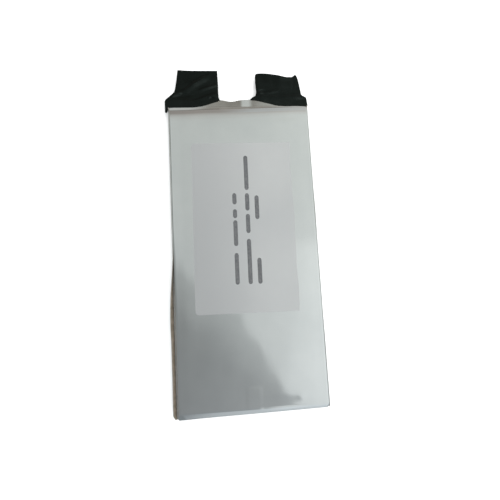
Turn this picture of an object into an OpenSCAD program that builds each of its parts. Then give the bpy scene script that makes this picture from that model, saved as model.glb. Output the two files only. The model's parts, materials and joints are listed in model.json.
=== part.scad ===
// Lithium-ion pouch cell, lying on its rear face with its tabs towards +Y.
// X runs across the cell, Y along it and Z through its thickness.
// The origin is the centre of the underside of the whole cell, tabs included.

/* [Pouch] */
// Width over the folded side seals
pouch_w = 102; // [97:1:120]
// Length from the bottom fold to the edge of the top seal
pouch_l = 220; // [180:1:260]
// Thickness over both faces
pouch_t = 11; // [8:0.5:14]
// Thickness of one layer of aluminium laminate film
laminate_t = 0.15; // [0.12:0.01:0.18]
// Length of the heat-sealed band at the tab end
top_seal_l = 5.5; // [5:0.5:10]
// Height of the side seals where they stand against the walls
side_seal_h = 4.4; // [3:0.1:4.6]
// How far the walls lean in over the long sides
side_lean = 1.2; // [0.8:0.1:1.4]
// How far the bottom end rounds in
bottom_lean = 3; // [2:0.5:4]
// How far the shoulder at the tab end rounds in
shoulder_lean = 4.5; // [3:0.5:6]
// Radius of the cup's upright corners
corner_r = 3; // [2:0.5:5]

/* [Tabs] */
// Width of each tab
tab_w = 27; // [20:1:30]
// Thickness of each tab
tab_t = 0.3; // [0.2:0.05:0.4]
// Distance between the middles of the two tabs
tab_pitch = 58; // [50:1:62]
// Length of each tab beyond the top seal
tab_out = 15.5; // [13:0.5:40]
// Distance from the top seal to the line that a tab bends on
bend_out = 4.5; // [4:0.5:8]
// Thickness of one layer of seal film on a tab
film_t = 0.1; // [0.05:0.01:0.12]
// How far the seal film stands out on each side of a tab
film_margin = 1.5; // [1:0.5:5]

/* [Electrode stack] */
// Thickness of one cathode coating
cathode_coat_t = 0.078; // [0.06:0.002:0.09]
// Thickness of one anode coating
anode_coat_t = 0.088; // [0.06:0.002:0.1]
// Thickness of the metal foils
foil_t = 0.02; // [0.015:0.001:0.03]
// Thickness of the separator film
separator_t = 0.02; // [0.015:0.001:0.03]
// Width of the foil flag on each electrode sheet
flag_w = 23; // [15:1:25]

/* [Insulating tape] */
// Half of the thickness over a taped tab
tape_half_t = 0.7; // [0.6:0.05:0.9]
// Tape beyond the end of the positive tab
positive_tip = 8.3; // [1:0.1:12]
// Tape beyond the end of the negative tab, at its longer corner
negative_tip = 5; // [4:0.1:12]
// Looseness of the tape on each edge of the positive tab
positive_slack = 0.9; // [0.5:0.1:2]
// Looseness of the tape on each edge of the negative tab
negative_slack = 1.8; // [0.5:0.1:2]

/* [Label] */
// Width of the label
label_w = 70; // [50:1:80]
// Length of the label
label_l = 119; // [80:1:150]
// Thickness of the label
label_t = 0.1; // [0.05:0.01:0.2]
// Radius of the label's two rounded corners
label_r = 2.5; // [1:0.5:5]
// Turn of the label on the face, in degrees
label_turn = -0.6; // [-2:0.1:2]
// How far the label's middle lies to the right of the pouch's middle
label_right = -0.5; // [-10:0.1:10]
// How far the label's middle lies above the pouch's middle
label_up = 17.8; // [0:0.1:30]

/* [Hidden] */

// Gap between faces that only touch
touch = 0.01;
// Gap between neighbouring layers of the stack
layer_gap = 0.002;
// Height of the seal plane, where the front and rear halves of the pouch meet
mid_z = pouch_t / 2;
// Y of the bottom fold, of the foot of the shoulder and of the top seal's edge
y_bottom = -(pouch_l + tab_out + max(positive_tip, negative_tip)) / 2;
y_seal = y_bottom + pouch_l - top_seal_l;
y_edge = y_bottom + pouch_l;
// Y of the bend line and of the tab's end
y_bend = y_edge + bend_out;
y_tip = y_edge + tab_out;
// Half width of the cup, inside the folded side seals
fold_room = 0.9;
cup_hw = pouch_w / 2 - fold_room;
side_seal_t = 2 * laminate_t;

// Electrode sheets: anodes are even, cathodes are odd, and an anode lies at each end
cathode_t = foil_t + 2 * (cathode_coat_t + layer_gap);
anode_t = foil_t + 2 * (anode_coat_t + layer_gap);
layer_step = separator_t + layer_gap;
pair_t = cathode_t + anode_t + 2 * (layer_step + layer_gap);
stack_room = 0.16;
stack_space = pouch_t - 2 * laminate_t - stack_room - anode_t - 2 * layer_step;
cathode_count = floor(stack_space / pair_t);
sheet_count = 2 * cathode_count + 1;
stack_t = cathode_count * pair_t + anode_t + 2 * layer_step;
stack_z = mid_z - stack_t / 2;
separator_hw = cup_hw - laminate_t - side_lean - 0.3;
anode_hw = separator_hw - 0.8;
cathode_hw = anode_hw - 1;
// Y of the stack's ends
separator_y0 = y_bottom + bottom_lean + 0.4;
separator_y1 = y_seal - 10.2;
anode_y0 = separator_y0 + 1;
anode_y1 = separator_y1 - 1.5;
cathode_y0 = anode_y0 + 1;
cathode_y1 = anode_y1 - 1;
// Y where the foil flags bend towards the tab, lie flat under it, and end
flag_bend_y = separator_y1 + 0.3;
flag_y0 = y_seal - 6.5;
flag_y1 = y_seal - 1.2;
weld_y0 = flag_y0 + 0.4;
tab_bottom_z = mid_z - tab_t / 2;

stack_tape_t = 0.05;
weld_tape_t = 0.05;
film_w = tab_w + 2 * film_margin;
film_h = tab_t / 2 + film_t;
tape_foot = 0.1;
bend_clear = 1;
sleeve_clear = 0.6;
label_y = (y_bottom + y_seal) / 2 + label_up;

// Extrudes an outline drawn in X and Z from y0 to y1
module along_y(y0, y1) {
    translate([0, y1, 0])
        rotate([90, 0, 0])
            linear_extrude(y1 - y0) children();
}

// Extrudes an outline drawn in Y and Z from x0 to x1
module along_x(x0, x1) {
    translate([x0, 0, 0])
        rotate([90, 0, 90])
            linear_extrude(x1 - x0) children();
}

// A block between two opposite corners
module block(low, high) {
    translate(low) cube(high - low);
}

// ---- Pouch halves ----

corner_steps = 5;
lean_angles = [0, 20, 38, 54, 68, 80, 90];

// One level of the cup: a rounded rectangle that has leaned in by the angle a
function cup_loop(a, skin) =
    let (
        hw = cup_hw - skin - side_lean * (1 - cos(a)),
        y0 = y_bottom + skin + bottom_lean * (1 - cos(a)),
        y1 = y_seal - skin - shoulder_lean * (1 - cos(a)),
        z = (pouch_t / 2 - skin) * sin(a),
        r = corner_r - skin,
        corners = [[hw, y1, 0], [-hw, y1, 90], [-hw, y0, 180], [hw, y0, 270]]
    )
    [for (c = corners)
        let (cx = c[0] - sign(c[0]) * r, cy = c[1] == y1 ? y1 - r : y0 + r)
        for (i = [0 : corner_steps])
            let (t = c[2] + 90 * i / corner_steps)
            [cx + r * cos(t), cy + r * sin(t), z]];

loop_size = 4 * (corner_steps + 1);
levels = len(lean_angles);

// Quads between two loops, first and second being the index of each loop's first point
function loop_wall(first, second) =
    [for (i = [0 : loop_size - 1])
        let (j = (i + 1) % loop_size)
        [first + i, second + i, second + j, first + j]];

// The laminate skin over one half of the pouch, standing on the seal plane
module cup() {
    points = concat(
        [for (a = lean_angles) each cup_loop(a, 0)],
        [for (a = lean_angles) each cup_loop(a, laminate_t)]);
    inner = levels * loop_size;
    last = (levels - 1) * loop_size;
    faces = concat(
        [for (k = [0 : levels - 2]) each loop_wall(k * loop_size, (k + 1) * loop_size)],
        [[for (i = [loop_size - 1 : -1 : 0]) last + i]],
        [for (k = [0 : levels - 2])
            each loop_wall(inner + (k + 1) * loop_size, inner + k * loop_size)],
        [[for (i = [0 : loop_size - 1]) inner + last + i]],
        loop_wall(inner, 0));
    polyhedron(points, faces);
}

// Cup with openings in its shoulder for the two tabs and their seal films
module slotted_cup() {
    difference() {
        cup();
        for (side = [-1, 1])
            block([side * tab_pitch / 2 - film_w / 2 - touch, y_seal - 1, -1],
                  [side * tab_pitch / 2 + film_w / 2 + touch, y_seal + 1, film_h + touch]);
    }
}

module front_laminate() {
    color("silver") translate([0, 0, mid_z]) slotted_cup();
}

module rear_laminate() {
    color("silver") translate([0, 0, mid_z]) mirror([0, 0, 1]) slotted_cup();
}

// ---- Seals ----

// Half of a seal's outline over one tab, out to the distance reach from the seal plane
function bulge(side, reach, flat, margin) =
    [[side * tab_pitch / 2 - film_w / 2 - margin, flat],
     [side * tab_pitch / 2 - film_w / 2, reach],
     [side * tab_pitch / 2 + film_w / 2, reach],
     [side * tab_pitch / 2 + film_w / 2 + margin, flat]];

// The outline of the fused laminates in X and Z, bulged over both tabs
function seal_outline(hw, flat, reach, margin) =
    let (upper = concat([[-hw, flat]], bulge(-1, reach, flat, margin),
                        bulge(1, reach, flat, margin), [[hw, flat]]))
    concat([for (p = upper) [p[0], mid_z + p[1]]],
           [for (i = [len(upper) - 1 : -1 : 0]) [upper[i][0], mid_z - upper[i][1]]]);

module tab_and_film_space(grow) {
    for (side = [-1, 1])
        translate([side * tab_pitch / 2 - film_w / 2 - grow, mid_z - film_h - grow])
            square([film_w + 2 * grow, 2 * (film_h + grow)]);
}

module top_seal() {
    color("silver")
        along_y(y_seal + touch, y_edge)
            difference() {
                polygon(seal_outline(cup_hw, laminate_t, film_h + laminate_t, 0.4));
                tab_and_film_space(touch);
            }
}

// Both laminates fused, standing out from the wall and folded up against the front half
module side_seal() {
    outer = pouch_w / 2;
    low = mid_z - laminate_t;
    color("gainsboro")
        along_y(y_bottom + 0.6, y_seal - touch)
            polygon([
                [cup_hw + touch, low], [outer - 0.3, low], [outer, low + 0.3],
                [outer, low + side_seal_h], [outer - side_seal_t, low + side_seal_h],
                [outer - side_seal_t, low + side_seal_t + 0.1],
                [outer - side_seal_t - 0.1, low + side_seal_t],
                [cup_hw + touch, low + side_seal_t]
            ]);
}

module left_side_seal() { mirror([1, 0, 0]) side_seal(); }
module right_side_seal() { side_seal(); }

// Adhesive strip that holds a folded side seal against the wall
module fold_adhesive() {
    strip_z = [mid_z + 0.8, mid_z + 3.6];
    end_gap = 8;
    color("khaki")
        block([cup_hw + touch, y_bottom + end_gap, strip_z[0]],
              [pouch_w / 2 - side_seal_t - touch, y_seal - end_gap, strip_z[1]]);
}

module left_fold_adhesive() { mirror([1, 0, 0]) fold_adhesive(); }
module right_fold_adhesive() { fold_adhesive(); }

// ---- Tabs ----

// Fixed part of a tab: the weld pad, the stretch through the seal and the foot of the bend
module tab_root(side, tint) {
    root_clear = 0.05;
    color(tint)
        block([side * tab_pitch / 2 - tab_w / 2, weld_y0, tab_bottom_z],
              [side * tab_pitch / 2 + tab_w / 2, y_bend - tab_t / 2 - root_clear,
               tab_bottom_z + tab_t]);
}

// Free part of a tab, which turns on its round end
module tab_blade(side, tint) {
    color(tint)
        along_x(side * tab_pitch / 2 - tab_w / 2, side * tab_pitch / 2 + tab_w / 2)
            union() {
                translate([y_bend, mid_z]) circle(d = tab_t, $fn = 32);
                translate([y_bend, tab_bottom_z]) square([y_tip - y_bend, tab_t]);
            }
}

module positive_tab_root() { tab_root(-1, "lightgray"); }
module positive_tab_blade() { tab_blade(-1, "lightgray"); }
module negative_tab_root() { tab_root(1, "darkgray"); }
module negative_tab_blade() { tab_blade(1, "darkgray"); }

// Seal film on the front of a tab, closing down to the seal plane beside it
module seal_film(side) {
    edge = tab_w / 2 + touch;
    inside = tab_t / 2 + touch;
    low = layer_gap;
    film_out = 1;
    color("ivory")
        translate([side * tab_pitch / 2, 0, mid_z])
            along_y(y_seal - 0.9, y_edge + film_out)
                polygon([
                    [-film_w / 2, low], [-edge, low], [-edge, inside], [edge, inside],
                    [edge, low], [film_w / 2, low], [film_w / 2, film_h], [-film_w / 2, film_h]
                ]);
}

module rear_seal_film(side) {
    translate([0, 0, 2 * mid_z]) mirror([0, 0, 1]) seal_film(side);
}

module positive_seal_film_front() { seal_film(-1); }
module positive_seal_film_rear() { rear_seal_film(-1); }
module negative_seal_film_front() { seal_film(1); }
module negative_seal_film_rear() { rear_seal_film(1); }

// ---- Insulating tape ----

// The band's lower edge rises in a curve towards the middle of the cell
function band_outline(tip_x, sleeve_x) =
    let (
        flat_from = 34,
        outer_x = pouch_w / 2 + 0.5,
        tip_rise = 5,
        top = y_bend - bend_clear,
        steps = 5
    )
    concat(
        [for (i = [0 : steps])
            let (s = 1 - i / steps)
            [tip_x + (flat_from - tip_x) * (1 - s), y_seal + tape_foot + tip_rise * s * s]],
        [[outer_x, y_seal + tape_foot], [outer_x, y_edge + 0.8], [outer_x - 5.5, top],
         [sleeve_x, top]]);

// Tape wound round the foot of a tab and the top seal, drawn on the +X side
module tape_band(tip_x, sleeve_x) {
    difference() {
        translate([0, 0, mid_z - tape_half_t])
            linear_extrude(2 * tape_half_t)
                polygon(band_outline(tip_x, sleeve_x));
        along_y(y_seal - 1, y_edge + touch)
            polygon(seal_outline(cup_hw + touch, laminate_t + touch,
                                 film_h + laminate_t + touch, 0.4));
        along_y(y_edge, y_edge + 1 + touch) tab_and_film_space(touch);
        tab_space(1);
    }
}

// The space of a tab with clearance all round, along its whole length
module tab_space(side) {
    block([side * tab_pitch / 2 - tab_w / 2 - touch, y_edge, tab_bottom_z - touch],
          [side * tab_pitch / 2 + tab_w / 2 + touch, y_tip + touch,
           tab_bottom_z + tab_t + touch]);
}

// Tape wound round the free part of a tab, drawn on the +X side. Its end runs straight from
// the inner corner, tip past the tab, dips before the outer corner and rises to the corner.
module tape_sleeve(slack, tip, dip, corner) {
    hw = tab_w / 2 + slack;
    y0 = y_bend + sleeve_clear;
    flare = 1.4;
    difference() {
        translate([tab_pitch / 2, 0, mid_z - tape_half_t])
            linear_extrude(2 * tape_half_t)
                polygon([
                    [-hw, y0], [hw + flare, y0], [hw, y_tip - 3], [hw - 1, y_tip + tip - corner],
                    [hw - 6.5, y_tip + tip - dip], [-hw / 3, y_tip + tip], [-hw, y_tip + tip]
                ]);
        tab_space(1);
    }
}

module positive_tape_band() {
    color("#1c1e1b") mirror([1, 0, 0]) tape_band(13.5, tab_pitch / 2 - tab_w / 2 - positive_slack);
}

module positive_tape_sleeve() {
    color("#1c1e1b") mirror([1, 0, 0]) tape_sleeve(positive_slack, positive_tip, 0, 0);
}

module negative_tape_band() {
    color("#1c1e1b") tape_band(9, tab_pitch / 2 - tab_w / 2 - negative_slack);
}

module negative_tape_sleeve() {
    color("#1c1e1b") tape_sleeve(negative_slack, negative_tip, 3.6, 1.4);
}

// ---- Electrode stack ----

// Height of the bottom of sheet k, or of separator layer k, which lies just under it
function layer_z(k) =
    stack_z + k * (layer_step + layer_gap) + ceil(k / 2) * anode_t + floor(k / 2) * cathode_t;
function sheet_z(k) = layer_z(k) + layer_step;

// Height of flag i where count flags lie gathered under the tab
function gathered_z(i, count) = tab_bottom_z - (count - i) * (foil_t + layer_gap);

// One foil with its flag, which leaves at the height z and joins the bundle at flat_z
module foil(hw, y0, y1, z, side, flat_z) {
    block([-hw, y0, z], [hw, y1, z + foil_t]);
    along_x(side * tab_pitch / 2 - flag_w / 2, side * tab_pitch / 2 + flag_w / 2)
        polygon([
            [y1 - 1, z], [flag_bend_y, z], [flag_y0, flat_z], [flag_y1, flat_z],
            [flag_y1, flat_z + foil_t], [flag_y0, flat_z + foil_t],
            [flag_bend_y, z + foil_t], [y1 - 1, z + foil_t]
        ]);
}

module cathode_foils() {
    color("lightgray")
        for (i = [0 : cathode_count - 1])
            foil(cathode_hw, cathode_y0, cathode_y1,
                 sheet_z(2 * i + 1) + cathode_coat_t + layer_gap,
                 -1, gathered_z(i, cathode_count));
}

module anode_foils() {
    color("peru")
        for (i = [0 : cathode_count])
            foil(anode_hw, anode_y0, anode_y1,
                 sheet_z(2 * i) + anode_coat_t + layer_gap,
                 1, gathered_z(i, cathode_count + 1));
}

// The two coatings of one sheet, with the foil's thickness left between them
module coatings(hw, y0, y1, z, coat_t) {
    for (lift = [0, coat_t + foil_t + 2 * layer_gap])
        block([-hw, y0, z + lift], [hw, y1, z + lift + coat_t]);
}

module cathode_coatings() {
    color("dimgray")
        for (i = [0 : cathode_count - 1])
            coatings(cathode_hw, cathode_y0, cathode_y1, sheet_z(2 * i + 1), cathode_coat_t);
}

module anode_coatings() {
    color("#2b2b2d")
        for (i = [0 : cathode_count])
            coatings(anode_hw, anode_y0, anode_y1, sheet_z(2 * i), anode_coat_t);
}

// One long film folded to and fro between the sheets
module separator() {
    w = separator_hw;
    t = separator_t;
    last = sheet_count;
    rising = [for (j = [0 : 2 : last - 1]) each [
        [j == 0 ? -w : -w + t, layer_z(j)], [w, layer_z(j)], [w, layer_z(j + 1) + t],
        [j + 1 == last ? -w : -w + t, layer_z(j + 1) + t]]];
    other = [for (j = [0 : 2 : last - 1]) each [
        [-w, layer_z(j) + t], [w - t, layer_z(j) + t], [w - t, layer_z(j + 1)],
        [-w, layer_z(j + 1)]]];
    color("whitesmoke")
        along_y(separator_y0, separator_y1)
            polygon(concat(rising, [for (i = [len(other) - 1 : -1 : 0]) other[i]]));
}

// Tape folded over one long edge of the stack, centred on y
module side_stack_tape(y) {
    tape_w = 20;
    reach = 12;
    w = separator_hw + touch;
    low = stack_z - touch;
    high = stack_z + stack_t + touch;
    color("seagreen")
        along_y(y - tape_w / 2, y + tape_w / 2)
            polygon([
                [w - reach, low - stack_tape_t], [w + stack_tape_t, low - stack_tape_t],
                [w + stack_tape_t, high + stack_tape_t], [w - reach, high + stack_tape_t],
                [w - reach, high], [w, high], [w, low], [w - reach, low]
            ]);
}

stack_tape_ys = [separator_y0 + 150, separator_y0 + 50];

module stack_tape_left_upper() { mirror([1, 0, 0]) side_stack_tape(stack_tape_ys[0]); }
module stack_tape_left_lower() { mirror([1, 0, 0]) side_stack_tape(stack_tape_ys[1]); }
module stack_tape_right_upper() { side_stack_tape(stack_tape_ys[0]); }
module stack_tape_right_lower() { side_stack_tape(stack_tape_ys[1]); }

// Tape folded over the bottom end of the stack
module stack_tape_bottom() {
    tape_w = 9;
    reach = 13;
    y = separator_y0 - touch;
    low = stack_z - touch;
    high = stack_z + stack_t + touch;
    color("seagreen")
        along_x(-tape_w / 2, tape_w / 2)
            polygon([
                [y + reach, low - stack_tape_t], [y - stack_tape_t, low - stack_tape_t],
                [y - stack_tape_t, high + stack_tape_t], [y + reach, high + stack_tape_t],
                [y + reach, high], [y, high], [y, low], [y + reach, low]
            ]);
}

// Insulating tape over both faces of a foil-to-tab weld
module weld_tape(side, count) {
    hw = tab_w / 2 + 1.5;
    top = tab_bottom_z + tab_t + touch;
    under = gathered_z(0, count) - touch;
    color("seagreen")
        for (z = [top, under - weld_tape_t])
            block([side * tab_pitch / 2 - hw, weld_y0, z],
                  [side * tab_pitch / 2 + hw, y_seal - 1, z + weld_tape_t]);
}

module positive_weld_tape() { weld_tape(-1, cathode_count); }
module negative_weld_tape() { weld_tape(1, cathode_count + 1); }

// ---- Label ----

// Self-adhesive label: its left corners are rounded and its right edge is a straight cut
module label() {
    color("whitesmoke")
        translate([label_right, label_y, pouch_t + touch])
            rotate([0, 0, label_turn])
                linear_extrude(label_t)
                    union() {
                        translate([-label_w / 2 + label_r, -label_l / 2])
                            square([label_w - label_r, label_l]);
                        translate([-label_w / 2, -label_l / 2 + label_r])
                            square([label_w / 2, label_l - 2 * label_r]);
                        for (end = [-1, 1])
                            translate([-label_w / 2 + label_r, end * (label_l / 2 - label_r)])
                                circle(r = label_r, $fn = 48);
                    }
}

front_laminate();
rear_laminate();
top_seal();
left_side_seal();
right_side_seal();
left_fold_adhesive();
right_fold_adhesive();
positive_tab_root();
positive_tab_blade();
negative_tab_root();
negative_tab_blade();
positive_seal_film_front();
positive_seal_film_rear();
negative_seal_film_front();
negative_seal_film_rear();
positive_tape_band();
positive_tape_sleeve();
negative_tape_band();
negative_tape_sleeve();
cathode_foils();
cathode_coatings();
anode_foils();
anode_coatings();
separator();
stack_tape_left_upper();
stack_tape_left_lower();
stack_tape_right_upper();
stack_tape_right_lower();
stack_tape_bottom();
positive_weld_tape();
negative_weld_tape();
label();
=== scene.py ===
"""Looks of a pouch battery cell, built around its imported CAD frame.

Metres throughout, in the CAD's frame: X across the cell, Y along it towards the tabs, Z up.
Shapes are worked out in millimetres and turned into metres when a mesh is made.
"""

import json

import bmesh
import bpy
import numpy as np
from mathutils import Matrix, Vector


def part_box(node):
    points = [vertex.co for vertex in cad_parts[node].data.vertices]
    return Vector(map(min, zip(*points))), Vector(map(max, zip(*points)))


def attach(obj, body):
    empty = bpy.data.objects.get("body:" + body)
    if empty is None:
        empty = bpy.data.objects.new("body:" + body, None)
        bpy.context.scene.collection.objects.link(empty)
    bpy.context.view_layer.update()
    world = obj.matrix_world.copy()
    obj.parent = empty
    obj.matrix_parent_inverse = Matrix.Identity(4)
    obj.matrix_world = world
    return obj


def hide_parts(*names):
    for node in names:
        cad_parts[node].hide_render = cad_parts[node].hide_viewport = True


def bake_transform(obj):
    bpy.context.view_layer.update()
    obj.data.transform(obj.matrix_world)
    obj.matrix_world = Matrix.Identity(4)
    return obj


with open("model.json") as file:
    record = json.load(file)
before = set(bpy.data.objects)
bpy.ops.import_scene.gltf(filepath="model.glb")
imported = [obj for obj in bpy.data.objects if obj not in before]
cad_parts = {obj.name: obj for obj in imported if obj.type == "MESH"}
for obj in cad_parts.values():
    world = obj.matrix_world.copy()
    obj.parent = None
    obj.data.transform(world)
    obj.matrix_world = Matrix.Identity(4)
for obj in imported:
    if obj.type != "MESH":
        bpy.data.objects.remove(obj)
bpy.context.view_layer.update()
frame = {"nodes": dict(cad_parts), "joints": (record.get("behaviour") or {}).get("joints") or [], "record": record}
MM = 0.001


def box_mm(node):
    """Lowest and highest corner of a CAD node, in millimetres."""
    low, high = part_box(node)
    return np.array(low) / MM, np.array(high) / MM


# ---- Driving dimensions, read from the frame, in millimetres ----

CUP_LOW, CUP_HIGH = box_mm("front_laminate")
CUP_HW = CUP_HIGH[0]  # half width of the cup at the seal plane
FACE_Z = CUP_HIGH[2]
MID_Z = CUP_LOW[2]  # height of the seal plane, where the two halves meet
HALF_T = FACE_Z - MID_Z
Y_BOTTOM, Y_SEAL = CUP_LOW[1], CUP_HIGH[1]  # the bottom fold and the foot of the shoulder
Y_EDGE = box_mm("top_seal")[1][1]
FOLD_X = box_mm("right_side_seal")[1][0]
FOLD_TOP = box_mm("right_side_seal")[1][2]
TAB_LOW, TAB_HIGH = box_mm("negative_tab_root")
TAB_X = (TAB_LOW[0] + TAB_HIGH[0]) / 2
TAB_HW = (TAB_HIGH[0] - TAB_LOW[0]) / 2
TAB_TIP = box_mm("negative_tab_blade")[1][1]
FILM_LOW, FILM_HIGH = box_mm("negative_seal_film_front")
FILM_HW = (FILM_HIGH[0] - FILM_LOW[0]) / 2
BEND_Y = frame["joints"][0]["pos_m"][1] / MM
LEFT_TIP = box_mm("positive_tape_sleeve")[1][1]  # Y of each tape's free end
RIGHT_TIP = box_mm("negative_tape_sleeve")[1][1]
TAPE_HALF_T = box_mm("positive_tape_sleeve")[1][2] - MID_Z
LAMINATE_T = 0.15

# How far the walls lean in, from the middle plane to the face
SIDE_LEAN, BOTTOM_LEAN = 1.2, 3.3
# The shoulder, as (distance from the top seal, share of the full height). The vacuum draws the
# skin into an S: flat at the foot, steep, then rounding slowly on to the face. The rear half has
# almost no flat foot, because the welds of the tabs fill that side.
FRONT_SHOULDER = [(0, 0), (1.6, 0.02), (2.0, 0.08), (3.4, 0.70), (4.3, 0.82), (5.6, 0.90),
                  (7.0, 0.95), (9.0, 0.985), (11.2, 1)]
REAR_SHOULDER = [(0, 0), (0.2, 0.03), (0.6, 0.12), (2.4, 0.70), (3.6, 0.82), (5.2, 0.90),
                 (6.9, 0.95), (9.0, 0.985), (11.2, 1)]
# The bottom fold, as (share of its lean, share of the height): upright, then a broad chamfer
CHAMFER = [(0, 0), (0.10, 0.45), (0.20, 0.78), (0.45, 0.88), (0.75, 0.955), (1, 1)]
JAW_GAP = 0.8  # from the foot of the shoulder to where the sealing jaws pressed
BOTTOM_SKEW = 1.4  # the bottom fold runs askew by this much at each side
LEFT_CORNER_R, RIGHT_CORNER_R, TOP_CORNER_R = 1.3, 1.4, 1.0  # of the cup's upright corners


# ---- Small maths helpers ----


def ramp(x, start, end):
    """0 before start, 1 after end and smooth between, on arrays too."""
    t = np.clip((np.asarray(x, float) - start) / (end - start), 0, 1)
    return t * t * (3 - 2 * t)


def plateau(x, y, x0, x1, y0, y1, soft):
    """1 over a rectangle, falling to 0 over the width soft outside it."""
    across = ramp(x, x0 - soft, x0) * (1 - ramp(x, x1, x1 + soft))
    along = ramp(y, y0 - soft, y0) * (1 - ramp(y, y1, y1 + soft))
    return across * along


def hill(x, y, cx, cy, rx, ry):
    """A smooth bump of height 1 at (cx, cy) with radii rx and ry."""
    return np.exp(-(((x - cx) / rx) ** 2) - ((y - cy) / ry) ** 2)


def ripple(x, y, seed, lengths, turns):
    """Gentle waves between -1 and 1, from crossed sines of these lengths, turned in degrees."""
    total = np.zeros(np.broadcast(x, y).shape)
    for k, (length, turn) in enumerate(zip(lengths, turns)):
        a = np.radians(turn)
        phase = 2.399 * (k + 1) * (seed + 1)
        along = x * np.cos(a) + y * np.sin(a)
        total += np.sin(2 * np.pi * along / length + phase)
    return total / len(lengths)


def curve_through(points, count):
    """count points evenly spaced along a smooth (Catmull-Rom) curve through the given ones."""
    p = np.array(points, float)
    padded = np.vstack([2 * p[0] - p[1], p, 2 * p[-1] - p[-2]])
    fine = []
    for k in range(len(p) - 1):
        a, b, c, d = padded[k : k + 4]
        for t in np.linspace(0, 1, 40, endpoint=False):
            fine.append(
                0.5 * (2 * b + (c - a) * t + (2 * a - 5 * b + 4 * c - d) * t**2
                       + (3 * b - a - 3 * c + d) * t**3)
            )
    fine = np.array(fine + [p[-1]])
    steps = np.r_[0, np.cumsum(np.hypot(*np.diff(fine, axis=0).T))]
    wanted = np.linspace(0, steps[-1], count)
    return np.stack([np.interp(wanted, steps, fine[:, 0]),
                     np.interp(wanted, steps, fine[:, 1])], -1)


def height_profile(points, height):
    """How far in a wall has come at each height, from (distance in, height) points."""
    curve = curve_through(points, 120)
    return np.interp(height, np.maximum.accumulate(curve[:, 1]), curve[:, 0])


def normals(grid):
    """Unit normals of a grid of points, shape (rows, columns, 3)."""
    down = np.gradient(grid, axis=0)
    over = np.gradient(grid, axis=1)
    n = np.cross(over, down)
    return n / np.maximum(np.linalg.norm(n, axis=-1, keepdims=True), 1e-9)


# ---- Mesh helpers ----

SHARP_ANGLE = 50  # rims and creases sharper than this, in degrees, are shaded as edges


def grid_faces(start, rows, columns, flip=False):
    """Quads over a grid of points whose first index is start."""
    faces = []
    for i in range(rows - 1):
        for j in range(columns - 1):
            a = start + i * columns + j
            quad = (a, a + 1, a + columns + 1, a + columns)
            faces.append(quad[::-1] if flip else quad)
    return faces


def border(rows, columns):
    """Indices round the edge of a grid, in order."""
    top = list(range(columns))
    right = [i * columns + columns - 1 for i in range(1, rows)]
    bottom = [(rows - 1) * columns + j for j in range(columns - 2, -1, -1)]
    left = [i * columns for i in range(rows - 2, 0, -1)]
    return top + right + bottom + left


def make_object(name, points_mm, faces, material):
    """A smooth-shaded object from points in millimetres."""
    mesh = bpy.data.meshes.new(name)
    mesh.from_pydata([tuple(p) for p in np.asarray(points_mm) * MM], [], faces)
    mesh.validate()
    mesh.shade_smooth()
    mesh.set_sharp_from_angle(angle=np.radians(SHARP_ANGLE))
    piece = bpy.data.objects.new(name, mesh)
    bpy.context.scene.collection.objects.link(piece)
    mesh.materials.append(material)
    return piece


def sheet_between(upper, lower, start=0):
    """Points and faces of a closed sheet between two grids of the same shape."""
    rows, columns = upper.shape[:2]
    size = rows * columns
    points = np.vstack([upper.reshape(-1, 3), lower.reshape(-1, 3)])
    faces = grid_faces(start, rows, columns)
    faces += grid_faces(start + size, rows, columns, flip=True)
    ring = border(rows, columns)
    for a, b in zip(ring, ring[1:] + ring[:1]):
        faces.append((start + b, start + a, start + size + a, start + size + b))
    return points, faces


def closed_sheet(name, upper, lower, material):
    """One closed sheet as an object."""
    points, faces = sheet_between(upper, lower)
    return make_object(name, points, faces, material)


def joined_sheets(name, pairs, material):
    """Several closed sheets as one object."""
    points, faces = [], []
    for upper, lower in pairs:
        p, f = sheet_between(upper, lower, start=sum(len(q) for q in points))
        points.append(p)
        faces += f
    return make_object(name, np.vstack(points), faces, material)


# ---- Materials ----


def set_stops(ramp_node, stops):
    """Gives a colour ramp its stops, each a (position, colour)."""
    elements = ramp_node.color_ramp.elements
    while len(elements) < len(stops):
        elements.new(0.5)
    for element, (position, colour) in zip(elements, stops):
        element.position = position
        element.color = (*colour, 1)


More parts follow.
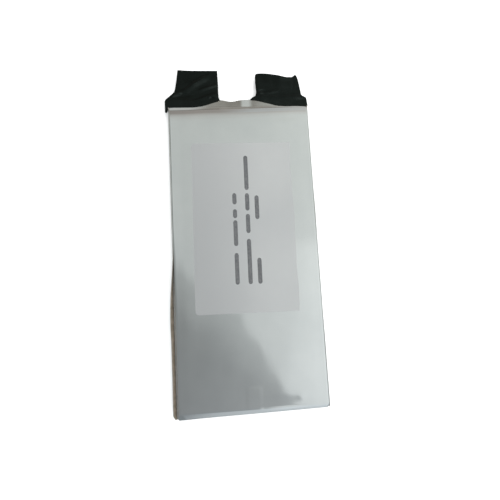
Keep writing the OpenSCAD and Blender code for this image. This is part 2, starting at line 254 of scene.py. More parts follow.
class Nodes:
    """A material's node tree, with short calls for the nodes used here."""

    def __init__(self, name):
        self.material = bpy.data.materials.new(name)
        self.material.use_nodes = True
        self.tree = self.material.node_tree
        self.shader = self.tree.nodes["Principled BSDF"]
        self.place = self.tree.nodes.new("ShaderNodeTexCoord").outputs["Object"]

    def link(self, source, target):
        """Joins an output to an input."""
        self.tree.links.new(source, target)

    def value(self, **sockets):
        """Sets the shader's own sockets, with _ for each space in a name."""
        for name, value in sockets.items():
            self.shader.inputs[name.replace("_", " ")].default_value = value

    def noise(self, scale, detail, stretch=(1, 1, 1)):
        """Noise fixed to the object. An axis with a stretch under 1 has it drawn out."""
        mapping = self.tree.nodes.new("ShaderNodeMapping")
        mapping.inputs["Scale"].default_value = stretch
        self.link(self.place, mapping.inputs["Vector"])
        node = self.tree.nodes.new("ShaderNodeTexNoise")
        node.inputs["Scale"].default_value = scale
        node.inputs["Detail"].default_value = detail
        self.link(mapping.outputs["Vector"], node.inputs["Vector"])
        return node.outputs["Fac"]

    def colours(self, fac, stops):
        """A colour looked up by a number between 0 and 1."""
        node = self.tree.nodes.new("ShaderNodeValToRGB")
        set_stops(node, stops)
        self.link(fac, node.inputs["Fac"])
        return node.outputs["Color"]

    def numbers(self, fac, low, high, from_low=0.3, from_high=0.7):
        """A number from low to high. A noise spends nearly all its time between 0.3 and 0.7."""
        node = self.tree.nodes.new("ShaderNodeMapRange")
        node.inputs["From Min"].default_value = from_low
        node.inputs["From Max"].default_value = from_high
        node.inputs["To Min"].default_value = low
        node.inputs["To Max"].default_value = high
        self.link(fac, node.inputs["Value"])
        return node.outputs["Result"]

    def axis(self, name):
        """One of the object's own coordinates, in metres."""
        node = self.tree.nodes.new("ShaderNodeSeparateXYZ")
        self.link(self.place, node.inputs["Vector"])
        return node.outputs[name]

    def math(self, operation, result, *others):
        """One operation over all the values, from the left. Each is a number or an output."""
        for other in others:
            node = self.tree.nodes.new("ShaderNodeMath")
            node.operation = operation
            for value, socket in zip((result, other), node.inputs):
                if isinstance(value, (int, float)):
                    socket.default_value = value
                else:
                    self.link(value, socket)
            result = node.outputs["Value"]
        return result

    def smooth(self, value, start, end):
        """0 at start, 1 at end and smooth between. start may be the higher of the two."""
        node = self.tree.nodes.new("ShaderNodeMapRange")
        node.interpolation_type = "SMOOTHSTEP"
        node.inputs["From Min"].default_value = min(start, end)
        node.inputs["From Max"].default_value = max(start, end)
        self.link(value, node.inputs["Value"])
        if start < end:
            return node.outputs["Result"]
        return self.math("SUBTRACT", 1.0, node.outputs["Result"])

    def slant(self, degrees):
        """Distance from the object's middle along a direction turned from +X, in metres."""
        turn = np.radians(degrees)
        along_x = self.math("MULTIPLY", self.axis("X"), float(np.cos(turn)))
        along_y = self.math("MULTIPLY", self.axis("Y"), float(np.sin(turn)))
        return self.math("ADD", along_x, along_y)

    def fade(self, axis, start, end):
        """0 at start and 1 at end along one of the object's axes, in millimetres."""
        return self.smooth(self.axis(axis), start * MM, end * MM)

    def mix(self, fac, a, b):
        """Colour a where fac is 0 and colour b where it is 1."""
        node = self.tree.nodes.new("ShaderNodeMix")
        node.data_type = "RGBA"
        self.link(fac, node.inputs[0])
        for value, socket in zip((a, b), node.inputs[6:8]):
            if isinstance(value, tuple):
                socket.default_value = (*value, 1)
            else:
                self.link(value, socket)
        return node.outputs[2]

    def bump(self, heights):
        """Fine relief, from a list of (height output, depth in millimetres)."""
        normal = None
        for height, depth in heights:
            node = self.tree.nodes.new("ShaderNodeBump")
            node.inputs["Strength"].default_value = 1
            node.inputs["Distance"].default_value = depth * MM
            self.link(height, node.inputs["Height"])
            if normal is not None:
                self.link(normal, node.inputs["Normal"])
            normal = node.outputs["Normal"]
        self.link(normal, self.shader.inputs["Normal"])


def laminate_material(name, dark, light, roughness, waves):
    """Aluminium foil under clear nylon: a satin mirror with faint cloudiness and rolling lines.

    A darker brownish band is painted along the middle of the shoulder's foot as shadow.
    """
    m = Nodes(name)
    m.value(Metallic=1.0, Coat_Weight=0.25, Coat_Roughness=0.12)
    foil_tone = m.colours(m.noise(28, detail=4), [(0.3, dark), (0.7, light)])
    # painted shadow: a darker brownish band along the middle of the shoulder's foot
    foot = m.fade("Y", Y_SEAL - 2.5, Y_SEAL - 1.9)
    middle = m.math("MULTIPLY", m.fade("X", -36, -20), m.fade("X", 45, 20))
    painted_foot_shadow = m.mix(m.math("MULTIPLY", foot, middle), foil_tone, (0.50, 0.475, 0.445))
    m.link(painted_foot_shadow, m.shader.inputs["Base Color"])
    streak = m.noise(160, detail=3, stretch=(1, 0.12, 1))
    m.link(m.numbers(streak, *roughness), m.shader.inputs["Roughness"])
    m.bump([(m.noise(70, detail=2), waves), (m.noise(900, detail=2), 0.0035)])
    return m.material


def sealed_foil_material():
    """Foil made duller where the sealing jaws pressed it.

    Painted highlights brighten it: a glint over one short stretch, a strip along the groove at the left, and
    painted light that grows towards the right.
    """
    m = Nodes("sealed_foil")
    m.value(Metallic=1.0)
    dull = m.colours(m.noise(90, detail=3), [(0.3, (0.44, 0.42, 0.39)), (0.7, (0.48, 0.46, 0.43))])
    # painted highlights, mixed in as a lighter colour: a glint over one short stretch, a strip along the groove at
    # the left, and light growing towards the right
    painted_glint = m.math("MULTIPLY", m.fade("X", 1.2, 3.4), m.fade("X", 11.2, 7.2))
    painted_light_rightwards = m.numbers(m.axis("X"), 0, 0.45, from_low=10 * MM, from_high=34 * MM)
    before_jaws = m.fade("Y", Y_SEAL + JAW_GAP + 0.3, Y_SEAL + JAW_GAP)
    painted_groove_highlight = m.math("MULTIPLY", before_jaws, m.fade("X", -18, -34))
    bright = m.math("MAXIMUM", painted_glint, painted_light_rightwards, painted_groove_highlight)
    m.link(m.mix(bright, dull, (0.84, 0.85, 0.84)), m.shader.inputs["Base Color"])
    m.link(m.numbers(m.noise(200, detail=3), 0.20, 0.28), m.shader.inputs["Roughness"])
    m.bump([(m.noise(150, detail=2), 0.008)])
    return m.material


def tape_material():
    """Black PVC insulating tape: finely grained, with a soft greenish sheen."""
    m = Nodes("insulating_tape")
    m.value(Specular_IOR_Level=0.22, Specular_Tint=(0.84, 1.0, 0.94, 1))
    cloud = m.noise(90, detail=4)
    stops = [(0.3, (0.0004, 0.0008, 0.0005)), (0.7, (0.0010, 0.0016, 0.0013))]
    m.link(m.colours(cloud, stops), m.shader.inputs["Base Color"])
    m.link(m.numbers(m.noise(260, detail=3), 0.26, 0.34), m.shader.inputs["Roughness"])
    m.bump([(m.noise(150, detail=2), 0.03), (m.noise(700, detail=2), 0.004)])
    return m.material


def label_material():
    """Pearly white film with a faint tooth. Painted shade greys it towards its left edge, and painted light
    lightens it at the top.
    """
    m = Nodes("label_film")
    m.value(Metallic=0.72, Specular_IOR_Level=0.5)
    cloud = m.noise(22, detail=3)
    stops = [(0.3, (0.475, 0.48, 0.485)), (0.7, (0.515, 0.52, 0.52))]
    # painted shade: the film greyer towards its left edge
    shaded = m.mix(m.fade("X", 20, -36), m.colours(cloud, stops), (0.425, 0.43, 0.435))
    # painted light: the film lighter towards the top
    painted_light_top = m.math("MULTIPLY", m.fade("Y", 0, 100), 0.09)
    m.link(m.mix(painted_light_top, shaded, (0.95, 0.95, 0.95)), m.shader.inputs["Base Color"])
    m.link(m.numbers(m.noise(300, detail=3), 0.34, 0.42), m.shader.inputs["Roughness"])
    m.bump([(m.noise(2200, detail=3), 0.006)])
    return m.material


def plain_material(name, dark, light, roughness, metallic=0.0, scale=400, tooth=0.01):
    """Mottled colour with a fine tooth, for print, adhesive, the floor and the pieces inside."""
    m = Nodes(name)
    m.value(Metallic=metallic)
    cloud = m.noise(scale, detail=4)
    m.link(m.colours(cloud, [(0.3, dark), (0.7, light)]), m.shader.inputs["Base Color"])
    fine = m.noise(scale * 3, detail=3)
    m.link(m.numbers(fine, roughness * 0.85, roughness * 1.15), m.shader.inputs["Roughness"])
    m.bump([(fine, tooth)])
    return m.material


FOIL = laminate_material("laminate_foil", (0.80, 0.81, 0.81), (0.88, 0.885, 0.88),
                         (0.05, 0.085), 0.01)
FLAP_FOIL = laminate_material("flap_foil", (0.76, 0.75, 0.74), (0.86, 0.86, 0.85),
                              (0.16, 0.24), 0.04)
SEALED_FOIL = sealed_foil_material()
TAPE = tape_material()
LABEL = label_material()
INK = plain_material("print", (0.055, 0.057, 0.06), (0.10, 0.103, 0.106), 0.5, scale=700)
GLUE = plain_material("fold_adhesive", (0.15, 0.125, 0.095), (0.24, 0.205, 0.165), 0.55, tooth=0.05)

INNER_MATERIALS = {
    "positive_tab": plain_material("bare_aluminium", (0.70, 0.71, 0.72), (0.80, 0.81, 0.82),
                                   0.35, metallic=1.0),
    "negative_tab": plain_material("nickel_plate", (0.56, 0.53, 0.48), (0.68, 0.65, 0.60),
                                   0.3, metallic=1.0),
    "seal_film": plain_material("seal_film", (0.70, 0.66, 0.55), (0.80, 0.77, 0.68), 0.35),
    "cathode_foil": plain_material("cathode_foil", (0.74, 0.75, 0.76), (0.84, 0.85, 0.86),
                                   0.25, metallic=1.0),
    "cathode_coating": plain_material("cathode_coating", (0.012, 0.012, 0.013),
                                      (0.028, 0.028, 0.03), 0.8),
    "anode_foil": plain_material("anode_foil", (0.62, 0.30, 0.19), (0.78, 0.42, 0.28),
                                 0.3, metallic=1.0),
    "anode_coating": plain_material("anode_coating", (0.006, 0.006, 0.007),
                                    (0.018, 0.018, 0.02), 0.75),
    "separator_film": plain_material("separator_film", (0.78, 0.78, 0.77), (0.86, 0.86, 0.85),
                                     0.55),
    "stack_tape": plain_material("stack_tape", (0.02, 0.22, 0.10), (0.04, 0.32, 0.16), 0.3),
}


# ---- Pouch ----

# The five tapes round the stack, and how far each presses through the skin
STACK_TAPES = [("left_upper", 0.006), ("left_lower", 0.006), ("right_upper", 0.006),
               ("right_lower", 0.006), ("bottom", 0.04)]
# Heights of the rings of points down a wall, closer together at the face and at the foot
WALL_HEIGHTS = np.r_[np.sin(np.pi / 2 * (1 - np.linspace(0, 1, 23)[:-1] ** 1.6) ** 1.6),
                     0.019, 0.010, 0]
WALL_RINGS = len(WALL_HEIGHTS) - 1
# A small dent beside the lower right corner: its place and its radii
DENT = (CUP_HW - 19.1, Y_BOTTOM + 8.9, 2.8, 2.6)
# The flattened lower corners, as (side, distance of the crease from the corner, slope)
FACETS = [(1, 4.5, 0.5), (-1, 4.5, 0.3)]


def tape_print(x, y):
    """Height of the stack tapes as they show through the skin."""
    height = 0
    for place, relief in STACK_TAPES:
        low, high = box_mm("stack_tape_" + place)
        print_through = relief * plateau(x, y, low[0], high[0], low[1], high[1], 0.9)
        height = np.maximum(height, print_through)
    return height


def front_swell(x, y):
    """How far the front skin stands proud of the flat face: waves, one dent and the tapes."""
    wave = 0.045 * ripple(x, y, 3, (95, 61, 43), (24, 101, -33))
    wave += 0.012 * ripple(x, y, 5, (23, 17), (70, -15))
    inside = plateau(x, y, -CUP_HW + 9, CUP_HW - 9, Y_BOTTOM + 12, Y_SEAL - 16, 7)
    wave += 0.06 * hill(x, y, *DENT)
    return (wave + 0.06) * inside + tape_print(x, y)


def rear_swell(x, y):
    """The same for the rear skin, which is smoother and stays inside the plane it rests on."""
    return -0.01 * (1 + ripple(x, y, 8, (71, 47, 33), (15, 88, -40)))


def shoulder_inset(x, height, side):
    """How far the skin has come in from the top seal, by height from 0 to 1.

    The front's foot is widest at the left, and both shoulders are tighter towards the right.
    """
    inset = height_profile(FRONT_SHOULDER if side > 0 else REAR_SHOULDER, height)
    wide_foot = 0.5 * (1 - ramp(x, -42, -20)) * ramp(height, 0, 0.02) * (side > 0)
    return inset * (1 - 0.19 * ramp(x, -10, 45)) + wide_foot


def bottom_inset(x, height):
    """How far the bottom fold has come in. It runs askew, and its wall leans most at the left."""
    lean = BOTTOM_LEAN + 0.35 * (1 - ramp(x, -45, 0)) - 0.4 * ramp(x, 20, 50)
    askew = BOTTOM_SKEW * x / CUP_HW * (1 - 0.7 * height) + 0.5 * ramp(x, 15, 42) * (1 - height)
    return askew + lean * height_profile(CHAMFER, height)


def seal_half_t(x):
    """Half thickness of the top seal, thicker where it closes over a tab and its film."""
    from_tab = np.abs(np.abs(x) - TAB_X)
    return LAMINATE_T + 0.005 + 0.26 * (1 - ramp(from_tab, FILM_HW + 0.3, FILM_HW + 7))


def cup_grid(columns, rows, side, swell):
    """Outer surface of one half of the pouch: a face, and rings of points down the walls."""
    j, i = np.meshgrid(np.arange(-WALL_RINGS, columns + WALL_RINGS),
                       np.arange(-WALL_RINGS, rows + WALL_RINGS))
    over_x = np.maximum(0, np.maximum(-j, j - columns + 1))
    over_y = np.maximum(0, np.maximum(-i, i - rows + 1))
    height = WALL_HEIGHTS[np.maximum(over_x, over_y)]

    # turn is 0 along a side wall, 90 degrees along an end wall and in between round a corner
    turn = np.where(over_x >= over_y, over_y / np.maximum(over_x, 1),
                    2 - over_x / np.maximum(over_y, 1)) * np.pi / 4
    side_x = np.where(2 * j > columns - 1, 1, -1) * (over_x > 0)
    side_y = np.where(2 * i > rows - 1, 1, -1) * (over_y > 0)
    top = ramp(i, 0, rows - 1)
    bottom_r = LEFT_CORNER_R + (RIGHT_CORNER_R - LEFT_CORNER_R) * np.clip(j / (columns - 1), 0, 1)
    radius = bottom_r + (TOP_CORNER_R - bottom_r) * top

    half_w = CUP_HW - SIDE_LEAN * (1 - np.sqrt(1 - height**2)) - radius
    x = half_w * (2 * np.clip(j / (columns - 1), 0, 1) - 1) + side_x * radius * np.cos(turn)
    low = Y_BOTTOM + bottom_inset(x, height) + radius
    high = Y_SEAL - shoulder_inset(x, height, side) - radius
    y = low + (high - low) * np.clip(i / (rows - 1), 0, 1) + side_y * radius * np.sin(turn)

    # the halves meet in the bottom fold, and stand a laminate apart round the sealed sides
    base = (LAMINATE_T + 0.01) * ramp(y, Y_BOTTOM + 1, Y_BOTTOM + 5)
    base += (seal_half_t(x) - LAMINATE_T) * ramp(y, Y_SEAL - 6, Y_SEAL - 3)
    z = MID_Z + side * (base + (HALF_T - base + swell(x, y)) * height)
    return np.stack([x, y, z], -1)


def corner_facets(points, side):
    """Flattens both bottom corners beyond a slanting crease, as a vacuum leaves them."""
    p = points.copy()
    for sign, cut, slope in FACETS:
        # distance past the crease, which slants across the corner
        beyond = (sign * p[..., 0] - CUP_HW) - (p[..., 1] - Y_BOTTOM) * 0.85 + cut
        upper = np.clip(side * (p[..., 2] - MID_Z) / HALF_T, 0, 1)
        p[..., 2] -= side * slope * np.clip(beyond, 0, 5) * upper**2
    return p


def pouch_half(name, node, side, swell, columns, rows):
    """One half of the pouch: an outer skin, and an inner one a laminate's thickness inside it."""
    outer = corner_facets(cup_grid(columns, rows, side, swell), side)
    inner = outer - side * normals(outer) * LAMINATE_T
    inner[..., 2] = MID_Z + side * np.maximum(side * (inner[..., 2] - MID_Z), 0)
    pair = (outer, inner) if side > 0 else (inner, outer)
    piece = closed_sheet(name, *pair, FOIL)
    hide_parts(node)
    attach(piece, "cell")


pouch_half("pouch_front", "front_laminate", 1, front_swell, columns=84, rows=168)
pouch_half("pouch_rear", "rear_laminate", -1, rear_swell, columns=60, rows=120)


# ---- Top seal ----


def seal_drop(x, y):
    """How far the top seal droops between the tabs. One short stretch of it stays flat."""
    free = 1 - ramp(np.abs(x + 1), 7, 19)
    flat = ramp(x, -1, 4.5) * (1 - ramp(x, 6, 14))
    down = np.clip((y - Y_SEAL) / (Y_EDGE - Y_SEAL), 0, 1) * (1 - ramp(y, Y_EDGE + 1, BEND_Y + 3))
    return free * down * (0.45 - 0.3 * flat)


def seal_edge(x):
    """Y of the top seal's free edge: trimmed a little unevenly."""
    return Y_EDGE - 0.1 - 1.1 * hill(x, 0, -4.6, 0, 4.5, 1) + 0.1 * np.sin(x / 5.1)


def top_seal():
    """Two skins fused together, with a fine groove where the sealing jaw ended."""
    x = np.linspace(-CUP_HW + 0.05, CUP_HW - 0.05, 240)
    depth = np.r_[np.linspace(0, 0.14, 8), np.linspace(0.18, 1, 16)]
    xx, dd = np.meshgrid(x, depth)
    yy = Y_SEAL + 0.02 + (seal_edge(xx) - Y_SEAL - 0.02) * dd
    middle = MID_Z - seal_drop(xx, yy)
    t = seal_half_t(xx)
    groove = 0.03 * np.exp(-(((yy - Y_SEAL - JAW_GAP) / 0.3) ** 2))
    skins = []
    for side in (1, -1):
        outer = np.stack([xx, yy, middle + side * (t - groove)], -1)
        inner = np.stack([xx, yy, middle + side * (t - groove - LAMINATE_T + 0.01)], -1)
        skins.append((outer, inner) if side > 0 else (inner, outer))
    piece = joined_sheets("terrace", skins, SEALED_FOIL)
    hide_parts("top_seal")
    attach(piece, "cell")


top_seal()


# ---- Side seals ----

SEAL_T = 2 * LAMINATE_T
FLAP_H = FOLD_TOP - MID_Z - 0.4
ADHESIVE_T = 0.23


def left_lean(y):
    """Lean of the left flap away from the wall, in degrees: its lower half has sprung out."""
    sprung = 1 - ramp(y, Y_SEAL - 155, Y_SEAL - 95)
    return -12 + 44 * sprung + 2.0 * np.sin(y / 13.0) * sprung + 1.0 * np.sin(y / 9.0)


def right_lean(y):
    """The same for the right flap, which lies against the wall for its whole length."""
    return -12 + 1.0 * np.sin(y / 17.0 + 1) + 0.6 * np.sin(y / 7.3)


def flap_point(s, corner, tilt, height, offset):
    """A point on a flap's section at s, from -1 at the wall through 0 at the fold to 1 at its edge.

    offset moves it off the seal's middle, outwards where positive.
    """
    if s < 0:
        foot_w = corner[0] - CUP_HW - 0.02
        return corner + np.array([foot_w * s, -offset])
    up = np.array([np.sin(tilt), np.cos(tilt)])
    turn = min(1.0, s / 0.12) * (np.pi / 2 - tilt)  # rounds the fold
    return corner + up * height * s + np.array([np.sin(turn), -np.cos(turn)]) * offset


def flap_grid(sign, lean, offset, low, high, count, steps):
    """A grid along one side seal, over the part of its section from low to high."""
    y0 = Y_BOTTOM + 0.1 + (0.9 if sign > 0 else -0.5)
    corner = np.array([FOLD_X - SEAL_T / 2 - 0.1, MID_Z])
    rows = []
    for y in np.linspace(y0, Y_SEAL - 0.1, count):
        # both ends of the free edge are cut off slantwise, and it isn't quite straight
        height = FLAP_H * min(1.0, 0.4 + 0.6 * (y - y0) / 2.6)
        height *= 1 - 0.8 * float(ramp(y, Y_SEAL - 5, Y_SEAL - 0.6))
        height += 0.12 * np.sin(y / 11.0) + 0.06 * np.sin(y / 3.7)
        tilt = np.radians(lean(y))
        section = [flap_point(s, corner, tilt, height, offset)
                   for s in np.linspace(low, high, steps)]
        rows.append([[sign * x, y, z] for x, z in section])
    return np.array(rows)


def side_seal(side_name, sign, lean):
    """One folded side seal, and the strip of adhesive between its flap and the wall."""
    grids = [flap_grid(sign, lean, offset, -1, 1, 200, 26) for offset in (SEAL_T / 2, -SEAL_T / 2)]
    if sign < 0:
        grids.reverse()
    piece = closed_sheet(side_name + "_seal_fold", *grids, FLAP_FOIL)
    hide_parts(side_name + "_side_seal")
    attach(piece, "cell")

    outer = -SEAL_T / 2 - 0.01
    inner = outer - ADHESIVE_T
    grids = [flap_grid(sign, lean, offset, 0.22, 0.93, 200, 12) for offset in (outer, inner)]
    if sign < 0:
        grids.reverse()
    glue = closed_sheet(side_name + "_adhesive_strip", *grids, GLUE)
    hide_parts(side_name + "_fold_adhesive")
    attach(glue, "cell")


side_seal("left", -1, left_lean)
side_seal("right", 1, right_lean)


# ---- Insulating tape ----

TAPE_LEAST = 0.42  # the winding's least half thickness, so that the tab inside stays covered
TAPE_WALL = 0.24
TAPE_EDGE_R = 0.75  # rounding of the winding's edges
TAPE_FOOT = Y_SEAL + 0.3  # Y of the tape's edge where it runs along the foot of the shoulder


def coons(outline, u, v):
    """Plan of a surface spanning four edge curves, at fractions u and v from left and foot."""

    def at(curve, fractions):
        knots = np.linspace(0, 1, len(curve))
        return np.stack([np.interp(fractions, knots, column) for column in curve.T], -1)

    foot, tip, left, right = outline
    uu, vv = u[None, :, None], v[:, None, None]
    ruled = ((1 - vv) * at(foot, u)[None] + vv * at(tip, u)[None]
             + (1 - uu) * at(left, v)[:, None] + uu * at(right, v)[:, None])
    corners = ((1 - uu) * (1 - vv) * foot[0] + uu * (1 - vv) * foot[-1]
               + (1 - uu) * vv * tip[0] + uu * vv * tip[-1])
    return ruled - corners


def edge_rounding(plan, radius):
    """0 at the tip and both sides of a plan, rising as a quarter circle to 1 at the radius."""
    points = plan.reshape(-1, 1, 2)
    distance = np.full(len(points), 1e9)
    for edge in (plan[-1], plan[:, 0], plan[:, -1]):
        start, step = edge[:-1], np.diff(edge, axis=0)
        t = ((points - start) * step).sum(-1) / np.maximum((step * step).sum(-1), 1e-9)
        near = start + np.clip(t, 0, 1)[..., None] * step
        distance = np.minimum(distance, np.sqrt(((points - near) ** 2).sum(-1)).min(1))
    s = np.clip(distance.reshape(plan.shape[:2]) / radius, 0, 1)
    return np.sqrt(1 - (1 - s) ** 2)


def tape_thickness(x, y, tab_x, roll):
    """Half thickness of the winding.

    It swells up to a roll at the end of the seal, thins over the tab and thins again where the
    tape only meets itself.
    """
    band_end = np.interp(x, roll[:, 0], roll[:, 1])
    swelling = 0.46 * ramp(y, band_end - 6.5, band_end) * (1 - ramp(y, band_end, band_end + 2.0))
    beside_tab = ramp(np.abs(x - tab_x), TAB_HW - 0.5, TAB_HW + 2.5)
    beyond_tab = ramp(y, TAB_TIP - 4, LEFT_TIP - 3)
    alone = np.maximum(beside_tab * ramp(y, BEND_Y, BEND_Y + 4), beyond_tab)
    return TAPE_HALF_T - 0.04 + swelling - 0.22 * alone


def fold(x, y, start, end, steep, gentle):
    """A ridge of height 1 from start to end, steep on its left flank and gentle on its right."""
    (x0, y0), (x1, y1) = start, end
    length = np.hypot(x1 - x0, y1 - y0)
    ux, uy = (x1 - x0) / length, (y1 - y0) / length
    along = ((x - x0) * ux + (y - y0) * uy) / length
    left = (y - y0) * ux - (x - x0) * uy
    flank = np.where(left > 0, 1 - ramp(left, 0, steep), 1 - ramp(-left, 0, gentle))
    return flank * ramp(along, -0.15, 0.2) * (1 - ramp(along, 0.8, 1.15))


def sleeve(name, outline, thickness, wrinkles, sag, material):
    """A hollow flattened sleeve, open along its foot and closed round its other sides.

    Its four shells are the outside above and below, then the inside above and below. inset is
    how far the inside stays clear of the outline, as a share of the width and the length.
    """
    shells = []
    for inset, wall in ((0, 0), (0.014, TAPE_WALL)):
        plan = coons(outline, np.linspace(inset, 1 - inset, 130), np.linspace(0, 1 - inset, 120))
        x, y = plan[..., 0], plan[..., 1]
        rounding = edge_rounding(plan, TAPE_EDGE_R - wall)
        for side in (1, -1):
            relief = wrinkles(x, y) if side > 0 else 0.5 * wrinkles(x + 3, y - 2)
            reach = np.maximum(thickness(x, y) + relief, TAPE_LEAST) - wall
            z = MID_Z + sag(x, y) + side * rounding * reach
            shells.append(np.stack([x, y, z], -1))
    rows, columns = shells[0].shape[:2]
    size = rows * columns
    faces = []
    for k in range(4):
        faces += grid_faces(k * size, rows, columns, flip=k in (1, 2))
    for j in range(columns - 1):
        faces.append((j + 1, j, 2 * size + j, 2 * size + j + 1))
        faces.append((size + j, size + j + 1, 3 * size + j + 1, 3 * size + j))
    piece = make_object(name, np.vstack([s.reshape(-1, 3) for s in shells]), faces, material)
    weld(piece)
    return piece


def weld(piece):
    """Joins the points of a mesh that lie on each other."""
    mesh = bmesh.new()
    mesh.from_mesh(piece.data)
    bmesh.ops.remove_doubles(mesh, verts=mesh.verts, dist=1e-6)
    mesh.to_mesh(piece.data)
    mesh.free()


def edge_at(tab_x, points, count):
    """A smooth curve through points given as (distance from the tab's middle, Y)."""
    return curve_through([(tab_x + u, y) for u, y in points], count)


# Where the roll at the end of the seal is thickest
LEFT_ROLL = edge_at(-TAB_X, [(-27, Y_EDGE + 1.4), (-21, Y_EDGE + 1.4), (-10, Y_EDGE - 0.3),
                             (-3, Y_EDGE - 0.8), (2, Y_EDGE + 0.6), (8, Y_EDGE + 3.0),
                             (13, Y_EDGE + 4.3), (18, Y_EDGE + 4.9)], 60)
RIGHT_ROLL = edge_at(TAB_X, [(-24, Y_EDGE + 3.3), (-14.4, Y_EDGE + 2.5), (-7.4, Y_EDGE + 1.8),
                             (1.7, Y_EDGE + 1.2), (10.9, Y_EDGE + 1.6), (17.1, Y_EDGE + 1.7),
                             (25, Y_EDGE + 1.5)], 60)


def left_outline():
    """Foot, tip, left and right edge of the left tape, with a flap that hangs past the corner."""
    flap_corner, seal_corner = (-24.0, TAPE_FOOT - 3.7), (16.1, Y_SEAL + 4.9)
    tip_left, tip_right = (-14.3, LEFT_TIP + 0.2), (14.8, LEFT_TIP - 1.0)
    foot = [flap_corner, (-22.5, TAPE_FOOT - 3.4), (-21.9, TAPE_FOOT - 1.2),
            (-21.2, TAPE_FOOT - 0.2), (-16, TAPE_FOOT - 0.25), (-7, TAPE_FOOT - 0.25),
            (-0.5, TAPE_FOOT), (5, TAPE_FOOT + 1.1), (10.5, TAPE_FOOT + 2.8), seal_corner]
    tip = [tip_left, (-7, LEFT_TIP - 0.4), (4, LEFT_TIP - 0.8), tip_right]
    left = [flap_corner, (-24.1, TAPE_FOOT + 3), (-24.0, Y_EDGE), (-22.9, Y_EDGE + 1.4),
            (-20.1, Y_EDGE + 3.8), (-17.2, Y_EDGE + 6.8), (-16.2, Y_EDGE + 10.5),
            (-15.3, Y_EDGE + 16), tip_left]
    right = [seal_corner, (15.2, Y_EDGE + 1.6), (14.8, Y_EDGE + 5), (14.9, Y_EDGE + 11), tip_right]
    return foot, tip, left, right


def right_outline():
    """The same for the right tape, whose free end curls into a wave."""
    seal_corner, corner = (-20.2, Y_EDGE + 0.1), (22.4, TAPE_FOOT - 0.6)
    tip_left, tip_right = (-15.5, RIGHT_TIP - 1.7), (16.2, RIGHT_TIP - 3.4)
    foot = [seal_corner, (-16.3, TAPE_FOOT + 4.4), (-11, TAPE_FOOT + 3.0),
            (-5.1, TAPE_FOOT + 1.3), (0, TAPE_FOOT), (6, TAPE_FOOT - 0.5),
            (14, TAPE_FOOT - 0.5), corner]
    tip = [tip_left, (-15.0, RIGHT_TIP - 0.4), (-13.6, RIGHT_TIP + 0.3), (-10, RIGHT_TIP + 0.3),
           (-5, RIGHT_TIP - 0.3), (-0.5, RIGHT_TIP - 1.4), (4, RIGHT_TIP - 2.7),
           (8.5, RIGHT_TIP - 3.6), (12, RIGHT_TIP - 3.2), (14.0, RIGHT_TIP - 1.7),
           (15.2, RIGHT_TIP - 1.6), tip_right]
    left = [seal_corner, (-18.6, Y_EDGE + 1.5), (-16.2, Y_EDGE + 3.0), (-15.3, Y_EDGE + 5.5),
            (-15.5, Y_EDGE + 10), (-15.7, Y_EDGE + 15), tip_left]
    right = [corner, (22.2, TAPE_FOOT + 3), (21.5, Y_EDGE + 0.8), (18.8, Y_EDGE + 2.6),
             (18.0, Y_EDGE + 4.8), (17.5, Y_EDGE + 9), (16.8, Y_EDGE + 14), tip_right]
    return foot, tip, left, right


def left_wrinkles(x, y):
    """Relief of the left tape. Places in it are from the tab's middle and the bend line."""
    u, v = x + TAB_X, y - BEND_Y
    w = 0.7 * fold(u, v, (-9.9, 2.9), (8.4, 14.7), 1.8, 4.2)
    w += 0.5 * fold(u, v, (1.5, 3.2), (14.5, 7.4), 1.2, 2.2)
    w += 0.55 * fold(u, v, (-19.5, -1.8), (-12, 1.6), 1.3, 2.0)
    w += 0.3 * fold(u, v, (-5, 7.9), (5, 13.8), 1.4, 2.4)
    w -= 0.45 * hill(u, v, -9.3, -0.6, 3.2, 1.1)
    w -= 0.42 * hill(u, v, 10.1, -3.2, 1.8, 0.8)
    w += 0.3 * hill(u, v, 8.1, -2.9, 0.7, 0.7)
    w -= 0.3 * ramp(-u, 1, 15) * ramp(v, 0.4, 6.4)
    return w + 0.09 * ripple(x, y, 2, (9, 6.1), (31, 100))


def right_wrinkles(x, y):
    """Relief of the right tape: a raised middle panel, with creases and hollows at its foot."""
    u, v = x - TAB_X, y - BEND_Y
    middle_panel = ramp(u, -4, 3) * (1 - ramp(u, 10.4, 12.2))
    w = 0.95 * middle_panel * np.clip((v - 0.4) / 14, 0, 1)
    w -= 0.3 * ramp(u, 11.5, 13) * ramp(v, -0.6, 13.4)
    w += 0.5 * hill(u, v, -12.3, 0.1, 1.8, 1.0)
    w -= 0.42 * hill(u, v, -10.8, 2.0, 2.6, 0.9)
    w += 0.2 * fold(u, v, (-9, 0), (2, 2.6), 1.2, 2.4)
    w -= 0.12 * hill(u, v, 17, -5.6, 3.5, 1.4)
    return w + 0.09 * ripple(x, y, 6, (8.3, 6.7), (12, 80))


def left_sag(x, y):
    """How far the middle of the left tape stands off the seal plane."""
    wave = np.sin((x + TAB_X + 1) / 7.0)
    return 0.2 * ramp(y, BEND_Y + 4, LEFT_TIP) * wave - seal_drop(x, y)


def right_sag(x, y):
    """The same for the right tape, which curls down at its free corner."""
    u = x - TAB_X
    free = ramp(y, TAB_TIP - 3, TAB_TIP + 5.4)
    curl = 0.7 * np.sin((u + 5) / 7.5) - 0.5 * hill(u, y, 17, TAB_TIP + 4.4, 5, 9)
    return free * curl - seal_drop(x, y)


def tape(name, tab, tab_x, outline, roll, wrinkles, sag):
    """Tape wound round the top seal and one tab."""
    edges = [edge_at(tab_x, points, count) for points, count in zip(outline, (130, 130, 120, 120))]
    piece = sleeve(name, edges, lambda x, y: tape_thickness(x, y, tab_x, roll), wrinkles, sag,
                   TAPE)
    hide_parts(tab + "_tape_band", tab + "_tape_sleeve")
    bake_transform(piece)


